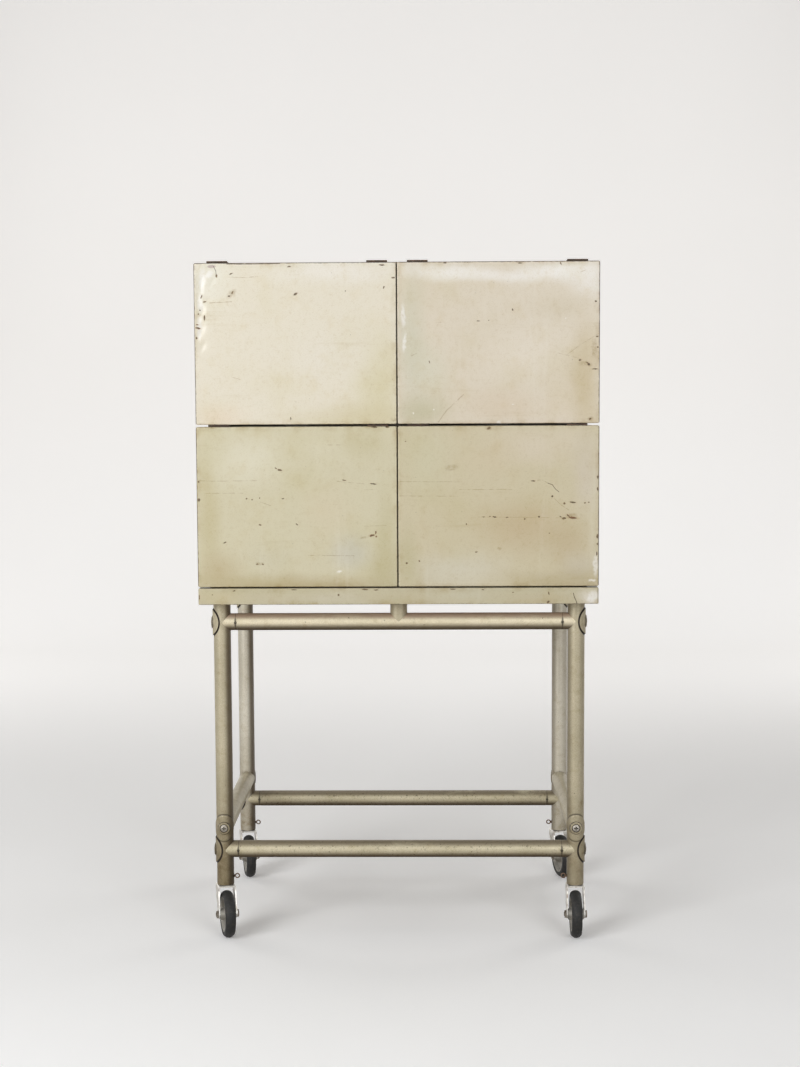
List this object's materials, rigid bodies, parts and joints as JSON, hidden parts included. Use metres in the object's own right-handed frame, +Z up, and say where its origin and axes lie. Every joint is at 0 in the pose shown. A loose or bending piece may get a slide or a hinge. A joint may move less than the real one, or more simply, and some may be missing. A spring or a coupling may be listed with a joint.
{
  "type": "flap-front metal cabinet on casters",
  "caption": "Sheet metal cabinet with top-hinged flap fronts over open compartments, on a bolted round-tube stand with swivel casters.",
  "frame": {"origin": "on the floor under the middle of the whole object's box", "axes": "+Z up, fronts face -Y, +X to the right as seen from the front"},
  "size_m": [0.732, 0.522, 1.2599],
  "materials": {
    "front_paint": "old cream enamel, worn and chipped",
    "cabinet_paint": "old cream enamel, worn and chipped",
    "inner_primer": "dull dark primer",
    "stand_paint": "satin warm grey paint over tube",
    "hinge_steel": "browned bare steel",
    "screw_steel": "dull plated steel",
    "zinc_plate": "bright zinc plate",
    "rim_paint": "grey paint",
    "tyre_rubber": "dusty black rubber",
    "magnet_case": "dark moulded case"
  },
  "bodies": {
    "root": {"base_pan": "cabinet_paint", "body_left_side": "cabinet_paint", "body_right_side": "cabinet_paint", "body_back": "cabinet_paint", "body_top": "cabinet_paint", "body_floor": "inner_primer", "centre_divider": "inner_primer", "left_shelf": "inner_primer", "right_shelf": "inner_primer", "hinge_body_leaves": "hinge_steel", "hinge_pins": "hinge_steel", "hinge_rivets": "hinge_steel", "front_magnets": "magnet_case", "front_left_leg": "stand_paint", "front_right_leg": "stand_paint", "rear_left_leg": "stand_paint", "rear_right_leg": "stand_paint", "front_upper_bar": "stand_paint", "rear_upper_bar": "stand_paint", "front_lower_bar": "stand_paint", "rear_lower_bar": "stand_paint", "left_side_bar": "stand_paint", "right_side_bar": "stand_paint", "upper_bar_ends": "stand_paint", "lower_bar_ends": "stand_paint", "side_bar_ends": "stand_paint", "front_centre_stub": "stand_paint", "rear_centre_stub": "stand_paint", "saddle_washers": "stand_paint", "saddle_screws": "screw_steel", "tube_top_plugs": "screw_steel", "pan_bolts": "screw_steel", "stem_sleeves": "screw_steel", "stem_eye_screws": "screw_steel"},
    "upper_left_front": {"upper_left_front": "front_paint", "upper_left_front_leaves": "hinge_steel"},
    "upper_right_front": {"upper_right_front": "front_paint", "upper_right_front_leaves": "hinge_steel"},
    "lower_left_front": {"lower_left_front": "front_paint", "lower_left_front_leaves": "hinge_steel"},
    "lower_right_front": {"lower_right_front": "front_paint", "lower_right_front_leaves": "hinge_steel"},
    "front_left_caster": {"front_left_caster_fork": "zinc_plate", "front_left_caster_axle": "zinc_plate"},
    "front_left_wheel": {"front_left_caster_rim": "rim_paint", "front_left_caster_tyre": "tyre_rubber"},
    "front_right_caster": {"front_right_caster_fork": "zinc_plate", "front_right_caster_axle": "zinc_plate"},
    "front_right_wheel": {"front_right_caster_rim": "rim_paint", "front_right_caster_tyre": "tyre_rubber"},
    "rear_left_caster": {"rear_left_caster_fork": "zinc_plate", "rear_left_caster_axle": "zinc_plate"},
    "rear_left_wheel": {"rear_left_caster_rim": "rim_paint", "rear_left_caster_tyre": "tyre_rubber"},
    "rear_right_caster": {"rear_right_caster_fork": "zinc_plate", "rear_right_caster_axle": "zinc_plate"},
    "rear_right_wheel": {"rear_right_caster_rim": "rim_paint", "rear_right_caster_tyre": "tyre_rubber"}
  },
  "joints": [
    {"name": "upper_left_front_hinge", "type": "hinge", "parent": "root", "child": "upper_left_front", "pos_m": [-0.184, -0.259, 1.2583], "axis": [-1, 0, 0], "range_deg": [0, 225]},
    {"name": "upper_right_front_hinge", "type": "hinge", "parent": "root", "child": "upper_right_front", "pos_m": [0.184, -0.259, 1.2583], "axis": [-1, 0, 0], "range_deg": [0, 225]},
    {"name": "lower_left_front_hinge", "type": "hinge", "parent": "root", "child": "lower_left_front", "pos_m": [-0.184, -0.259, 0.9633], "axis": [-1, 0, 0], "range_deg": [0, 115]},
    {"name": "lower_right_front_hinge", "type": "hinge", "parent": "root", "child": "lower_right_front", "pos_m": [0.184, -0.259, 0.9633], "axis": [-1, 0, 0], "range_deg": [0, 115]},
    {"name": "front_left_swivel", "type": "hinge", "parent": "root", "child": "front_left_caster", "pos_m": [-0.33, -0.2, 0.097], "axis": [0, 0, 1], "continuous": true},
    {"name": "front_left_roll", "type": "hinge", "parent": "front_left_caster", "child": "front_left_wheel", "pos_m": [-0.32531, -0.21634, 0.044], "axis": [0.9613, 0.2756, 0], "continuous": true},
    {"name": "front_right_swivel", "type": "hinge", "parent": "root", "child": "front_right_caster", "pos_m": [0.33, -0.2, 0.097], "axis": [0, 0, 1], "continuous": true},
    {"name": "front_right_roll", "type": "hinge", "parent": "front_right_caster", "child": "front_right_wheel", "pos_m": [0.33, -0.217, 0.044], "axis": [1, 0, 0], "continuous": true},
    {"name": "rear_left_swivel", "type": "hinge", "parent": "root", "child": "rear_left_caster", "pos_m": [-0.33, 0.2, 0.097], "axis": [0, 0, 1], "continuous": true},
    {"name": "rear_left_roll", "type": "hinge", "parent": "rear_left_caster", "child": "rear_left_wheel", "pos_m": [-0.32618, 0.18344, 0.044], "axis": [0.9744, 0.225, 0], "continuous": true},
    {"name": "rear_right_swivel", "type": "hinge", "parent": "root", "child": "rear_right_caster", "pos_m": [0.33, 0.2, 0.097], "axis": [0, 0, 1], "continuous": true},
    {"name": "rear_right_roll", "type": "hinge", "parent": "rear_right_caster", "child": "rear_right_wheel", "pos_m": [0.33411, 0.18351, 0.044], "axis": [0.9703, 0.2419, 0], "continuous": true}
  ]
}
